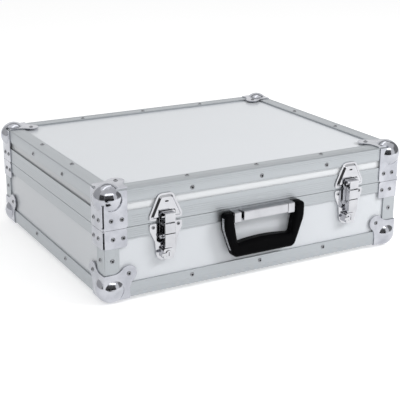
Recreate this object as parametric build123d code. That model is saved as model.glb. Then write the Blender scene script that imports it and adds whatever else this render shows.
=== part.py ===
# A small flight case for microphones: laminated panels in riveted aluminium angle,
# a hinged lid, two draw latches with key locks, a folding carrying handle,
# pressed ball corners and a foam insert with a slot for each microphone.
#
# Millimetres, +Z up. X runs along the front, the front looks towards -Y.
# The origin is the middle of the bounding box, on the ground that the ball corners stand on.
#
# Side pieces are written in the frame of one wall: x along the wall as seen from outside,
# y up from the underside of the extrusions, z outwards from the outer face of the extrusions.

from build123d import *
import os
from math import atan2, degrees, sqrt

# ---------------------------------------------------------------- overall sizes
case_width = 476.0          # over the edge extrusions
case_depth = 386.0
case_height = 150.5
parting_height = 98.0       # joint between body and lid, above the underside of the extrusions
parting_gap = 0.4

# ---------------------------------------------------------------- walls and extrusions
panel_thickness = 5.0
angle_thickness = 2.5       # edge angles; the panels lie this far inside the outer faces
angle_top_leg = 22.0        # leg on the top and the bottom face
lid_angle_drop = 19.5       # leg on the side faces of the lid
base_angle_rise = 21.0      # leg on the side faces of the body
post_leg = 22.0             # upright angles at the four corners of the body
edge_radius = 2.0
joint_play = 0.2            # between lengths of extrusion that butt

lid_rail_height = 22.5      # closure rail above the parting line
body_rail_height = 16.0     # closure rail below it
rail_lip_thickness = 0.8    # free lip at the top of the lid rail
rail_lip_height = 8.5
rail_inner_wall = 1.2
rail_web = 3.0
rail_web_lid = 4.2
body_rail_clasp = 8.0       # depth that each rail grips of the panel's inner face
lid_rail_clasp = 9.0
panel_play = 0.5            # between panel and the inner wall of the rail
tongue_width = 1.6
tongue_height = 2.4
tongue_side_play = 0.9
tongue_end_play = 0.5
tongue_centre = 5.3         # from the outer face

# ---------------------------------------------------------------- ball corners and braces
ball_radius = 20.5
ball_inset = 13.3           # centre of the ball from each outer face
ball_wall = 1.4
foot_flat_depth = 0.4       # flat that the lowest point of each foot ball stands on
plate_thickness = 1.5
plate_bend = 2.0            # outer radius where the plates turn round an edge
plate_end_radius = 3.0      # free corners of the flaps and braces
ball_play = 0.2             # between the inside of a ball and the cut corners of the extrusions
corner_reach = 36.0         # bottom corners and the top plates of the lid corners
corner_lobe_centre = 34.5
corner_lobe_radius = 11.5
corner_blend = 18.0
lid_corner_width = 34.0
brace_width = 33.0
brace_height = 25.3
slit_width = 2.4
slit_bridge = 3.3           # metal left at the end of a slit
brace_bridge = 1.6          # and at the top of the slit in a brace, which is open below
slit_start = 1.5            # how far a slit runs into the ball
slit_rise = 4.5             # and the upright one
slit_depth = 9.0            # past the plates and the ball wall
corner_relief = 3.5         # edge of the closure rails and posts cut away behind a slit
lid_corner_rivets = (11.0, 26.0)
lid_corner_rivet_rise = 12.5   # above the parting line
brace_rivets = (13.0, 27.5)
brace_rivet_drop = 13.0     # below it
post_rivet_inset = 12.0
post_rivet_shift = 0.75     # above the middle of the free length of the post

# ---------------------------------------------------------------- rivets
rivet_head_radius = 3.1
rivet_head_height = 1.2
rivet_shank_radius = 1.6
rivet_hole_play = 0.05
rivet_eye_radius = 1.1
rivet_eye_depth = 0.7
small_head_radius = 2.4
rivet_end_cover = 0.5       # panel left inside the blind end of a rivet
long_edge_pitch = 108.5     # three rivets along each long edge
short_edge_pitch = 114.0    # two rivets along each short edge
top_rivet_inset = 15.0
lid_rivet_drop = 12.5
base_rivet_rise = 13.5

# ---------------------------------------------------------------- latches, heights from the parting line
latch_offset = 148.8        # centre of each latch from the middle of the front
latch_sheet = 1.4
keeper_half_width = 24.0
keeper_top = 39.0
keeper_shoulder = 34.0
keeper_shoulder_half = 13.0
keeper_top_half = 10.5
keeper_top_radius = 8.6
keeper_ear_height = 7.0
keeper_ear_radius = 2.5
keeper_arch_radius = 3.0
dimple_wall = 1.0
keeper_rise = 4.5
keeper_flange = 1.5         # flat edge around the pressing
keeper_slope = 3.5          # width of the bevelled sides
keeper_bottom_gap = 3.0     # the keeper stops this far above the parting line
base_parting_gap = 1.5      # and the base this far below it
keeper_notch_play = 1.15    # beside the bail
keeper_arch_play = 1.1      # above the bail
keeper_lip_height = 2.0
keeper_lip_half = 8.0
keeper_rivet_height = 28.5
keeper_slot_length = 5.2    # opening in the pressing, over the rivet
keeper_slot_width = 2.0
base_ear_half = 24.0
base_ear_height = 8.5
base_waist_half = 16.5
base_waist_height = -26.0
base_foot_half = 14.8
base_foot_height = -41.0
base_end_half = 14.0
base_bottom = -53.5
base_corner_radii = (2.5, 4.0, 12.0, 12.0, 11.0)
base_skirt = 1.2
base_rivet_offset = 18.5
base_rivet_height = -6.5
pin_wall = 2.2              # metal around the pin in the cheeks
cheek_play = 0.25           # between a cheek and the lever's side wall
cheek_thickness = 1.5
lever_half_width = 7.75
lever_face = 14.5           # front of the lever, above the outer face of the extrusions
lever_wall = 1.2
lever_top = 0.3
lever_bottom = -31.0
lever_pivot_height = -1.7
lever_pivot_proud = 8.5
lever_lip_play = 0.8        # above the lock boss
lever_lip_drop = 0.7        # behind the lock's dog
lever_lip_half = 5.0
lever_groove_height = -13.7
lever_groove_width = 1.3
lever_groove_depth = 0.9
lever_corner_radius = 1.0
lever_waist = 6.0           # the side walls narrow this far below the bail pin
eye_wall = 1.6              # metal around the bail pin
lever_pin_radius = 1.6
bail_pivot_height = -19.0
bail_pivot_proud = 4.8
bail_pin_radius = 1.3
bail_bar = 3.2              # width of the bail's legs
bail_thickness = 2.0
bail_top = 15.7
bail_band = 2.5
bail_corner_radius = 2.5
nose_bottom = 2.2
nose_inset = 0.25           # nose of the bail narrower than the lever on each side
nose_wall = 1.5
nose_setback = 0.9          # top of the nose below the top of the bail
nose_radius = 1.2
pin_head = 0.6              # pin showing past what it holds
running_play = 0.05         # radial play of pins that turn
side_play = 0.5             # between parts that turn beside each other
keeper_to_bail_play = 0.4
lock_height = -43.5
lock_boss_half = 7.2
lock_boss_bottom = -51.2
lock_boss_top = -36.0
lock_boss_proud = 8.9
lock_boss_radius = 3.0
lock_radius = 4.4
lock_dog_thickness = 1.2
lock_dog_play = 1.9         # end of the turned dog below the lever's end wall
lock_dog_half_width = 1.9
lock_dog_radius = 1.2
lock_face_gap = 0.2
key_slot_width = 1.2
key_slot_length = 5.4
key_slot_depth = 4.0

# ---------------------------------------------------------------- handle, heights from the parting line
handle_offset = -1.6        # middle of the handle from the middle of the front
handle_half_width = 64.7
handle_half_foot = 49.5
handle_knee_height = -24.0
handle_foot_gap = 10.0      # bottom of the handle above the base angles
handle_back = 1.0           # back of the hanging handle, above the outer face of the extrusions
handle_thickness = 15.5
handle_pivot_height = -7.0
handle_arm_top = 5.4        # top of the arms above the pivot
handle_arm_width = 15.5
handle_arm_radius = 5.5     # corners of the arms' tops
grip_height = 20.2
grip_arch = 3.9
grip_half_opening = 43.5
handle_front_rounding = 5.0
handle_back_rounding = 3.0
handle_foot_radius = 10.0
handle_knee_radius = 40.0
handle_side_radius = 5.5
opening_knee_height = -16.0
opening_radius = 4.0
handle_core_width = 6.5
handle_core_depth = 1.6
handle_core_recess = 0.3
handle_core_start = 10.0    # above the foot of the loop
handle_core_stop = 1.5      # below the pivot
handle_pin_radius = 2.5
handle_pin_reach = 7.0      # how far the pins enter the arms
bracket_side_play = 0.6     # between the bracket and the handle's arms
bracket_drop = 1.0          # bottom of the bracket below the closure rail
bracket_parting_gap = 1.9   # top of the bracket below the top of the body
bracket_proud = 13.2
bracket_base = 2.0
bracket_wall = 1.5
bracket_lug = 10.3
bracket_left_slot = 4.8     # between the bar and the left lug
bracket_right_slot = 0.8
bracket_bar_rise = 2.2      # bottom of the bar above the bottom of the lugs
bracket_radius = 1.6
bracket_rivet_offset = 26.0

# ---------------------------------------------------------------- hinges
hinge_offset = 130.0
hinge_half_width = 30.0
hinge_knuckles = 5
hinge_knuckle_play = 0.15
hinge_axis_proud = 4.2
hinge_barrel_radius = 3.6
hinge_pin_radius = 1.5
hinge_leaf_thickness = 1.5
hinge_leaf_height = 17.0
hinge_leaf_clearance = 0.5  # between a leaf and the other leaf's knuckles
hinge_rivet_offset = 21.0
hinge_rivet_height = 11.0

# ---------------------------------------------------------------- foam insert
foam_play = 0.8             # between foam and the walls around it
foam_floor_top = 44.0
foam_sink = 4.0             # top of the foam walls below the parting line
foam_rim = 18.0
slot_count = 7
slot_width = 50.0
slot_length = 190.0
foam_crossbar = 15.0
tray_divider = 12.0
lid_foam_gap = 2.5          # lid foam above the parting line

# ---------------------------------------------------------------- derived places
ball_proud = ball_radius - ball_inset
base_z = ball_proud - foot_flat_depth
front_overhang = handle_back + handle_thickness
back_overhang = hinge_axis_proud + hinge_barrel_radius
front_y = (front_overhang - case_depth - back_overhang) / 2
middle_y = front_y + case_depth / 2
panel_outer = angle_thickness
panel_inner = angle_thickness + panel_thickness
rail_inner = panel_inner + panel_play + rail_inner_wall
lid_bottom = parting_height + parting_gap / 2
body_top = parting_height - parting_gap / 2
body_rail_bottom = parting_height - body_rail_height
post_rivet_height = (corner_reach + body_top - brace_height) / 2 + post_rivet_shift
lid_rail_top = parting_height + lid_rail_height

bail_inner = lever_half_width + side_play
bail_outer = bail_inner + bail_bar
bail_back = bail_pivot_proud - bail_thickness / 2
bail_front = bail_pivot_proud + bail_thickness / 2
keeper_notch_half = bail_outer + keeper_notch_play
keeper_notch_top = bail_top + keeper_arch_play
cheek_outer = lever_half_width - lever_wall - cheek_play
nose_half_width = lever_half_width - nose_inset
lever_lip_bottom = lock_boss_top + lever_lip_play
lever_lip_proud = lock_boss_proud + lock_face_gap - lever_lip_drop
lock_dog_length = lever_bottom - lock_height - lock_dog_play
bracket_half_width = handle_half_width - handle_arm_width - bracket_side_play
bracket_bottom = -body_rail_height - bracket_drop
bracket_top = -parting_gap / 2 - bracket_parting_gap
handle_pivot_proud = handle_back + handle_thickness / 2
handle_top = handle_pivot_height + handle_arm_top
handle_bottom = base_angle_rise + handle_foot_gap - parting_height
grip_top = handle_bottom + grip_height
arm_bore_end = handle_half_width - handle_arm_width + handle_pin_reach


def block(x, y, z):
    size = Box(x[1] - x[0], y[1] - y[0], z[1] - z[0])
    return Pos(sum(x) / 2, sum(y) / 2, sum(z) / 2) * size


def both_sides(half):
    return (-half, half)


def wall_plane(name):
    half_width = case_width / 2
    half_depth = case_depth / 2
    places = {
        "front": ((0, middle_y - half_depth), (1, 0, 0), (0, -1, 0)),
        "right": ((half_width, middle_y), (0, 1, 0), (1, 0, 0)),
        "back": ((0, middle_y + half_depth), (-1, 0, 0), (0, 1, 0)),
        "left": ((-half_width, middle_y), (0, -1, 0), (-1, 0, 0)),
    }
    (x, y), along, outwards = places[name]
    return Plane(origin=(x, y, base_z), x_dir=along, z_dir=outwards)


walls = {name: wall_plane(name).location for name in ("front", "right", "back", "left")}
wall_lengths = {"front": case_width, "right": case_depth, "back": case_width, "left": case_depth}


def corner_places(height):
    # the four upright edges in turn, each frame with +x and +y pointing into the case
    half_width = case_width / 2
    half_depth = case_depth / 2
    signs = ((-1, -1, 0), (1, -1, 90), (1, 1, 180), (-1, 1, 270))
    places = []
    for sign_x, sign_y, turn in signs:
        spot = (sign_x * half_width, middle_y + sign_y * half_depth, base_z + height)
        places.append(Location(spot, (0, 0, turn)))
    return places


# ---------------------------------------------------------------- rivets
def rivet(grip, head_radius=rivet_head_radius):
    head = Pos(0, 0, rivet_head_height / 2) * Cylinder(head_radius, rivet_head_height)
    crown = head.edges().filter_by(GeomType.CIRCLE).sort_by(Axis.Z)[-1]
    head = fillet(crown, rivet_head_height * 0.7)
    eye_middle = rivet_head_height - rivet_eye_depth / 2
    eye = Pos(0, 0, eye_middle) * Cylinder(rivet_eye_radius, rivet_eye_depth)
    shank = Pos(0, 0, -grip / 2) * Cylinder(rivet_shank_radius, grip)
    return head + shank - eye


def rivet_hole(grip):
    length = grip + 2 * rivet_head_height
    middle = rivet_head_height - length / 2
    return Pos(0, 0, middle) * Cylinder(rivet_shank_radius + rivet_hole_play, length)


class RivetSet:
    # where rivets of one body stand: each has a frame with +z outwards and a grip length
    def __init__(self):
        self.spots = []

    def add(self, place, proud=0.0, head_radius=rivet_head_radius):
        grip = proud + panel_inner - rivet_end_cover
        self.spots.append((place * Pos(0, 0, proud), grip, head_radius))

    def solids(self):
        patterns = {}
        built = []
        for place, grip, head_radius in self.spots:
            key = (grip, head_radius)
            if key not in patterns:
                patterns[key] = rivet(grip, head_radius)
            built.append(place * patterns[key])
        return built

    def drill(self, piece):
        # cut the shank holes of the rivets that pass through this piece
        bounds = piece.bounding_box()
        reach = 12.0
        for place, grip, head_radius in self.spots:
            spot = place.position
            near_x = bounds.min.X - reach < spot.X < bounds.max.X + reach
            near_y = bounds.min.Y - reach < spot.Y < bounds.max.Y + reach
            near_z = bounds.min.Z - reach < spot.Z < bounds.max.Z + reach
            if near_x and near_y and near_z:
                piece = piece - place * rivet_hole(grip)
        return piece


lid_rivets = RivetSet()
body_rivets = RivetSet()

edge_rivet_places = {
    "front": (-long_edge_pitch, 0.0, long_edge_pitch),
    "right": (-short_edge_pitch / 2, short_edge_pitch / 2),
    "back": (-long_edge_pitch, 0.0, long_edge_pitch),
    "left": (-short_edge_pitch / 2, short_edge_pitch / 2),
}
for name, wall in walls.items():
    for along in edge_rivet_places[name]:
        lid_rivets.add(wall * Pos(along, case_height - lid_rivet_drop, 0))
        body_rivets.add(wall * Pos(along, base_rivet_rise, 0))
        over_edge = wall * Pos(along, case_height, -top_rivet_inset) * Rot(-90, 0, 0)
        lid_rivets.add(over_edge)
        under_edge = wall * Pos(along, 0, -top_rivet_inset) * Rot(90, 0, 0)
        body_rivets.add(under_edge)


# ---------------------------------------------------------------- extrusions and panels
def mitred(name, outline, radius_at=None):
    # a length of extrusion along one wall; the outline is drawn as (height, proud)
    length = wall_lengths[name]
    profile = Polygon(*outline, align=None)
    if radius_at is not None:
        profile = fillet(profile.vertices().sort_by_distance((*radius_at, 0))[0], edge_radius)
    bar = extrude(Plane.YZ * profile, amount=length / 2, both=True)
    reach = 30.0
    half = length / 2 - joint_play / 2
    mitre = Polygon((-half, 0), (half, 0), (half - reach, -reach), (-half + reach, -reach), align=None)
    wedge = extrude(Plane.XZ * mitre, amount=2 * case_height, both=True)
    return walls[name] * (bar & wedge)


def angle_outline(corner_height, upright):
    # an L with its corner at the given height and its upright leg rising or falling from it
    turn = 1 if upright > 0 else -1
    inner = corner_height + turn * angle_thickness
    return (
        (corner_height, 0),
        (corner_height + upright, 0),
        (corner_height + upright, -angle_thickness),
        (inner, -angle_thickness),
        (inner, -angle_top_leg),
        (corner_height, -angle_top_leg),
    )


def body_rail_outline():
    foot = body_rail_bottom
    web = body_top - rail_web
    tongue_out = -tongue_centre + tongue_width / 2
    tongue_in = -tongue_centre - tongue_width / 2
    wall_out = -panel_inner - panel_play
    return (
        (foot, 0),
        (body_top, 0),
        (body_top, tongue_out),
        (body_top + tongue_height, tongue_out),
        (body_top + tongue_height, tongue_in),
        (body_top, tongue_in),
        (body_top, -rail_inner),
        (web - body_rail_clasp, -rail_inner),
        (web - body_rail_clasp, wall_out),
        (web, wall_out),
        (web, -panel_outer),
        (foot, -panel_outer),
    )


def lid_rail_outline():
    web = lid_bottom + rail_web_lid
    lip_root = lid_rail_top - rail_lip_height
    groove_top = body_top + tongue_height + tongue_end_play
    groove_out = -tongue_centre + tongue_width / 2 + tongue_side_play
    groove_in = -tongue_centre - tongue_width / 2 - tongue_side_play
    wall_out = -panel_inner - panel_play
    return (
        (lid_bottom, 0),
        (lid_rail_top, 0),
        (lid_rail_top, -rail_lip_thickness),
        (lip_root, -rail_lip_thickness),
        (lip_root, -panel_outer),
        (web, -panel_outer),
        (web, wall_out),
        (web + lid_rail_clasp, wall_out),
        (web + lid_rail_clasp, -rail_inner),
        (lid_bottom, -rail_inner),
        (lid_bottom, groove_in),
        (groove_top, groove_in),
        (groove_top, groove_out),
        (lid_bottom, groove_out),
    )


base_angle = angle_outline(0, base_angle_rise)
lid_angle = angle_outline(case_height, -lid_angle_drop)
square_base_angles = [mitred(name, base_angle, (0, 0)) for name in walls]
square_lid_angles = [mitred(name, lid_angle, (case_height, 0)) for name in walls]
square_body_rails = [mitred(name, body_rail_outline()) for name in walls]
square_lid_rails = [mitred(name, lid_rail_outline()) for name in walls]


def corner_post():
    bottom = base_angle_rise + joint_play
    top = body_rail_bottom - joint_play
    outer = block((0, post_leg), (0, post_leg), (bottom, top))
    outer = fillet(outer.edges().filter_by(Axis.Z).sort_by_distance((0, 0, bottom))[0], edge_radius)
    hollow = block((angle_thickness, case_width), (angle_thickness, case_width), (0, case_height))
    return outer - hollow


square_posts = [place * corner_post() for place in corner_places(0)]


def wall_panel(name, low, high):
    # front and back panels run the full width, side panels butt between them
    half = wall_lengths[name] / 2 - panel_outer
    if name in ("left", "right"):
        half = wall_lengths[name] / 2 - panel_inner
    return walls[name] * block(both_sides(half), (low, high), (-panel_inner, -panel_outer))


def flat_panel(low, high):
    half_width = case_width / 2 - panel_outer
    half_depth = case_depth / 2 - panel_outer
    centred = block(both_sides(half_width), both_sides(half_depth), (low, high))
    return Pos(0, middle_y, base_z) * centred


body_panel_top = body_top - rail_web - joint_play
lid_panel_bottom = lid_bottom + rail_web_lid + joint_play
lid_panel_top = case_height - panel_inner
floor_panel = flat_panel(panel_outer, panel_inner)
lid_top_panel = flat_panel(case_height - panel_inner, case_height - panel_outer)
body_wall_panels = {name: wall_panel(name, panel_inner, body_panel_top) for name in walls}
lid_wall_panels = {name: wall_panel(name, lid_panel_bottom, lid_panel_top) for name in walls}


# ---------------------------------------------------------------- ball corners and braces
def lobed_outline():
    # a square flap with a round lobe on its free corner, blended in
    meet = corner_lobe_centre - sqrt(corner_lobe_radius**2 - (corner_reach - corner_lobe_centre) ** 2)
    middle = (corner_reach - plate_thickness) / 2
    side = corner_reach + plate_thickness
    flap = Pos(middle, middle) * Rectangle(side, side)
    flap = flap + Pos(corner_lobe_centre, corner_lobe_centre) * Circle(corner_lobe_radius)
    for spot in ((corner_reach, meet, 0), (meet, corner_reach, 0)):
        flap = fillet(flap.vertices().sort_by_distance(spot)[0], corner_blend)
    return flap


def on_three_faces(flat, front, side):
    # flaps outside the planes z = 0, y = 0 and x = 0 of a corner whose inside is +x +y +z
    lower = Pos(0, 0, -plate_thickness) * extrude(flat, amount=plate_thickness)
    facing = extrude(Plane.XZ * front, amount=plate_thickness)
    beside = Pos(-plate_thickness, 0, 0) * extrude(Plane.YZ * side, amount=plate_thickness)
    far = (-plate_thickness, case_width)
    bent = block(far, far, far)
    axes = (Axis.X, Axis.Y, Axis.Z)
    bends = [bent.edges().filter_by(axis).sort_by_distance((0, 0, 0))[0] for axis in axes]
    return (lower + facing + beside) & fillet(bends, plate_bend)


def ball_at_corner(radius):
    return Pos(ball_inset, ball_inset, ball_inset) * Sphere(radius)


def past_ball_centre(reach):
    # the cube of space between the centre of the ball and the outer corner
    span = (-reach, ball_inset)
    return block(span, span, span)


def hollow_ball(flaps):
    # plates that run into the ball; the ball alone makes the outer corner
    inside = block((0, case_width), (0, case_width), (0, case_width))
    void = ball_at_corner(ball_radius - ball_wall)
    beside = flaps + ball_at_corner(ball_radius) - void - inside - past_ball_centre(case_width)
    tip = (ball_at_corner(ball_radius) - void) & past_ball_centre(ball_radius)
    return beside + tip


def corner_cut():
    # what is taken off the corners of the extrusions so that the balls fit over them
    return past_ball_centre(plate_thickness) - ball_at_corner(ball_radius - ball_wall - ball_play)


def foot_corner():
    outline = lobed_outline()
    corner = hollow_ball(on_three_faces(outline, outline, outline))
    foot = block((-ball_radius, case_width), (-ball_radius, case_width), (-ball_radius, -base_z))
    return corner - foot


def lid_corner():
    # built upside down, with z = 0 at the top face of the lid
    drop = case_height - lid_bottom
    width = lid_corner_width + plate_thickness
    flap_place = Pos(width / 2 - plate_thickness, (drop - plate_thickness) / 2)
    flap = flap_place * Rectangle(width, drop + plate_thickness)
    free_edge = flap.vertices().sort_by_distance((lid_corner_width, drop, 0))[0]
    flap = fillet(free_edge, plate_end_radius)
    corner = hollow_ball(on_three_faces(lobed_outline(), flap, flap))
    across = (-slit_depth, slit_width / 2)
    past_ball = ball_inset + sqrt(ball_radius**2 - 2 * ball_inset**2)
    upright_slit = block(across, across, (past_ball - slit_rise, drop - slit_bridge))
    along_edge = (past_ball - slit_start, corner_reach + plate_thickness)
    return corner - upright_slit - block(along_edge, across, across) - block(across, along_edge, across)


def body_brace():
    low = body_top - brace_height
    outer = block((-plate_thickness, brace_width), (-plate_thickness, brace_width), (low, body_top))
    outer = fillet(outer.edges().filter_by(Axis.Z).sort_by_distance((0, 0, low))[0], plate_thickness)
    inside = block((0, case_width), (0, case_width), (0, case_height))
    across = (-slit_depth, slit_width / 2)
    slit = block(across, across, (0, body_top - brace_bridge))
    brace = outer - inside - slit
    front_end = brace.edges().filter_by(Axis.Y).group_by(Axis.X)[-1]
    side_end = brace.edges().filter_by(Axis.X).group_by(Axis.Y)[-1]
    return fillet(front_end + side_end, plate_end_radius)


foot_corners = [place * foot_corner() for place in corner_places(0)]
mirrored_lid_corner = mirror(lid_corner(), about=Plane.XY)
lid_corners = [place * mirrored_lid_corner for place in corner_places(case_height)]
foot_cut = corner_cut()
lid_cut = mirror(foot_cut, about=Plane.XY)


def arris_cut():
    # hollow behind the slits, from the bottom of the braces to the top of the lid rail
    span = (-plate_thickness, corner_relief)
    return block(span, span, (body_top - brace_height, lid_rail_top))


def cut_corners(pieces, height, cut):
    trimmed = []
    for piece in pieces:
        for place in corner_places(height):
            piece = piece - place * cut
        trimmed.append(piece)
    return trimmed


base_edge_angles = cut_corners(square_base_angles, 0, foot_cut)
lid_edge_angles = cut_corners(square_lid_angles, case_height, lid_cut)
body_closure_rails = cut_corners(square_body_rails, 0, arris_cut())
lid_closure_rails = cut_corners(square_lid_rails, 0, arris_cut())
corner_posts = cut_corners(square_posts, 0, arris_cut())
body_braces = [place * body_brace() for place in corner_places(0)]

for place in corner_places(0):
    faces = (place * Rot(90, 0, 0), place * Rot(0, -90, 0) * Rot(0, 0, -90))
    facing, beside = faces
    for inset in lid_corner_rivets:
        lid_rivets.add(facing * Pos(inset, parting_height + lid_corner_rivet_rise, 0), plate_thickness)
        lid_rivets.add(beside * Pos(-inset, parting_height + lid_corner_rivet_rise, 0), plate_thickness)
    for inset in brace_rivets:
        body_rivets.add(facing * Pos(inset, parting_height - brace_rivet_drop, 0), plate_thickness)
        body_rivets.add(beside * Pos(-inset, parting_height - brace_rivet_drop, 0), plate_thickness)
    body_rivets.add(facing * Pos(post_rivet_inset, post_rivet_height, 0))
    body_rivets.add(beside * Pos(-post_rivet_inset, post_rivet_height, 0))
    lobe = (corner_lobe_centre, corner_lobe_centre, 0)
    body_rivets.add(facing * Pos(*lobe), plate_thickness)
    body_rivets.add(beside * Pos(-corner_lobe_centre, corner_lobe_centre, 0), plate_thickness)
    body_rivets.add(place * Pos(*lobe) * Rot(180, 0, 0), plate_thickness)
for place in corner_places(case_height):
    lid_rivets.add(place * Pos(corner_lobe_centre, corner_lobe_centre, 0), plate_thickness)


# ---------------------------------------------------------------- latches
parting_line = walls["front"] * Pos(0, parting_height, 0)
handle_place = parting_line * Pos(handle_offset, 0, 0)


def latch_place(side):
    return parting_line * Pos(side * latch_offset, 0, 0)


def upright_sheet(outline, low, high):
    # an outline drawn as (proud, height) on the plane x = 0, from low to high along x
    sheet = extrude(Plane.YZ * outline, amount=high - low)
    return Pos(low, 0, 0) * sheet


def cross_pin(height, proud, radius, half_length):
    return Pos(0, height, proud) * Rot(0, 90, 0) * Cylinder(radius, 2 * half_length)


def keeper_outline():
    right = (
        (keeper_half_width, keeper_bottom_gap),
        (keeper_half_width, keeper_bottom_gap + keeper_ear_height),
        (keeper_shoulder_half, keeper_shoulder),
        (keeper_top_half, keeper_top),
    )
    left = tuple((-x, y) for x, y in right)
    sketch = Polygon(*right, *reversed(left), align=None)
    for side in (-1, 1):
        top = sketch.vertices().sort_by_distance((side * keeper_top_half, keeper_top, 0))[0]
        sketch = fillet(top, keeper_top_radius)
        ear = sketch.vertices().sort_by_distance((side * keeper_half_width, keeper_bottom_gap, 0))[0]
        sketch = fillet(ear, keeper_ear_radius)
    return sketch


def latch_keeper():
    outline = keeper_outline()
    taper = degrees(atan2(keeper_slope, keeper_rise))
    pressing = extrude(offset(outline, -keeper_flange), amount=keeper_rise, taper=taper)
    cover = extrude(outline, amount=latch_sheet) + pressing
    hollow = Pos(0, 0, -latch_sheet) * pressing
    notch_heights = (0, keeper_notch_top)
    notch = block(both_sides(keeper_notch_half), notch_heights, (-latch_sheet, 2 * keeper_rise))
    notch = fillet(notch.edges().filter_by(Axis.Z).group_by(Axis.Y)[-1], keeper_arch_radius)
    floor_half = keeper_notch_half + latch_sheet
    floor_heights = (keeper_bottom_gap, keeper_notch_top + latch_sheet)
    floor = block(both_sides(floor_half), floor_heights, (0, latch_sheet))
    lip_top = bail_top - bail_band - keeper_to_bail_play
    lip_proud = bail_pivot_proud - bail_thickness / 2 - keeper_to_bail_play
    lip = block(both_sides(keeper_lip_half), (lip_top - keeper_lip_height, lip_top), (0, lip_proud))
    well_radius = rivet_head_radius + dimple_wall / 2
    well = Pos(0, keeper_rivet_height, keeper_rise) * Cylinder(well_radius, 2 * keeper_rise)
    tube = Pos(0, keeper_rivet_height, keeper_rise / 2) * Cylinder(well_radius + dimple_wall, keeper_rise)
    dimple = Pos(0, keeper_rivet_height, latch_sheet / 2) * Cylinder(well_radius + dimple_wall, latch_sheet)
    opening = SlotOverall(keeper_slot_length, keeper_slot_width)
    slot = extrude(Pos(0, keeper_rivet_height, keeper_rise) * opening, amount=latch_sheet, both=True)
    return cover - hollow - notch - slot + (tube - well) + dimple + floor + lip


def base_outline():
    top = -base_parting_gap
    right = (
        (base_ear_half, top),
        (base_ear_half, top - base_ear_height),
        (base_waist_half, base_waist_height),
        (base_foot_half, base_foot_height),
        (base_end_half, base_bottom),
    )
    left = tuple((-x, y) for x, y in right)
    sketch = Polygon(*left, *reversed(right), align=None)
    for (x, y), radius in zip(right, base_corner_radii):
        for side in (-1, 1):
            sketch = fillet(sketch.vertices().sort_by_distance((side * x, y, 0))[0], radius)
    return sketch


def latch_base():
    outline = base_outline()
    sheet = extrude(outline, amount=latch_sheet)
    inner_outline = offset(outline, -base_skirt)
    skirt = extrude(outline, amount=-panel_outer) - extrude(inner_outline, amount=-panel_outer)
    rail_heights = (-body_rail_height - joint_play, case_height)
    on_rail = block(both_sides(case_width), rail_heights, (-case_width, 0))
    base = sheet + (skirt - on_rail)
    round_end = lever_pin_radius + pin_wall
    leg = Pos(lever_pivot_height, lever_pivot_proud / 2) * Rectangle(2 * round_end, lever_pivot_proud)
    cheek = leg + Pos(lever_pivot_height, lever_pivot_proud) * Circle(round_end)
    for low in (-cheek_outer, cheek_outer - cheek_thickness):
        base = base + upright_sheet(cheek, low, low + cheek_thickness)
    boss = block(both_sides(lock_boss_half), (lock_boss_bottom, lock_boss_top), (0, lock_boss_proud))
    boss = fillet(boss.edges().filter_by(Axis.Z), lock_boss_radius)
    lock_bore = Cylinder(lock_radius + running_play, 2 * lock_boss_proud)
    lock_bore = Pos(0, lock_height, lock_boss_proud) * lock_bore
    pin_bore = cross_pin(lever_pivot_height, lever_pivot_proud, lever_pin_radius, lever_half_width)
    over_heights = (-parting_gap / 2, case_height)
    past_parting = block(both_sides(case_width), over_heights, (-case_width, latch_sheet + side_play))
    return base + boss - lock_bore - pin_bore - past_parting


def lever_profile():
    # side wall of the lever: round about its pivot at the top, with an ear for the bail pin below
    top_radius = lever_face - lever_pivot_proud
    back = lever_pivot_proud - top_radius + side_play
    wall = Polygon(
        (lever_pivot_height, lever_face - latch_sheet / 2),
        (lever_bottom, lever_face - latch_sheet / 2),
        (lever_bottom, lever_lip_proud - latch_sheet),
        (bail_pivot_height - lever_waist, bail_pivot_proud),
        (bail_pivot_height, bail_pivot_proud),
        (lever_pivot_height, back),
        align=None,
    )
    pivot_end = Pos(lever_pivot_height, lever_pivot_proud) * Circle(top_radius - side_play)
    ear = Pos(bail_pivot_height, bail_pivot_proud) * Circle(bail_pin_radius + eye_wall)
    return wall + pivot_end + ear


def latch_lever():
    face_heights = (lever_bottom, lever_top)
    face = block(both_sides(lever_half_width), face_heights, (lever_face - latch_sheet, lever_face))
    face = fillet(face.edges().filter_by(Axis.Y).group_by(Axis.Z)[-1], lever_corner_radius)
    lip_back = lever_lip_proud - latch_sheet
    end_heights = (lever_bottom, lever_bottom + latch_sheet)
    end_depths = (lip_back, lever_face - latch_sheet / 2)
    end_wall = block(both_sides(lever_half_width), end_heights, end_depths)
    lip_heights = (lever_lip_bottom, lever_bottom + latch_sheet)
    lip = block(both_sides(lever_lip_half), lip_heights, (lip_back, lever_lip_proud))
    groove_low = lever_groove_height - lever_groove_width / 2
    groove_heights = (groove_low, groove_low + lever_groove_width)
    groove_depths = (lever_face - lever_groove_depth, 2 * lever_face)
    groove = block(both_sides(lever_half_width), groove_heights, groove_depths)
    lever = face + end_wall + lip
    for side in (-1, 1):
        low = side * lever_half_width - (lever_wall if side > 0 else 0)
        lever = lever + upright_sheet(lever_profile(), low, low + lever_wall)
    through = 2 * lever_half_width
    turning_radius = lever_pin_radius + running_play
    lever_bore = cross_pin(lever_pivot_height, lever_pivot_proud, turning_radius, through)
    bail_bore = cross_pin(bail_pivot_height, bail_pivot_proud, bail_pin_radius, through)
    return lever - groove - lever_bore - bail_bore


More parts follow.
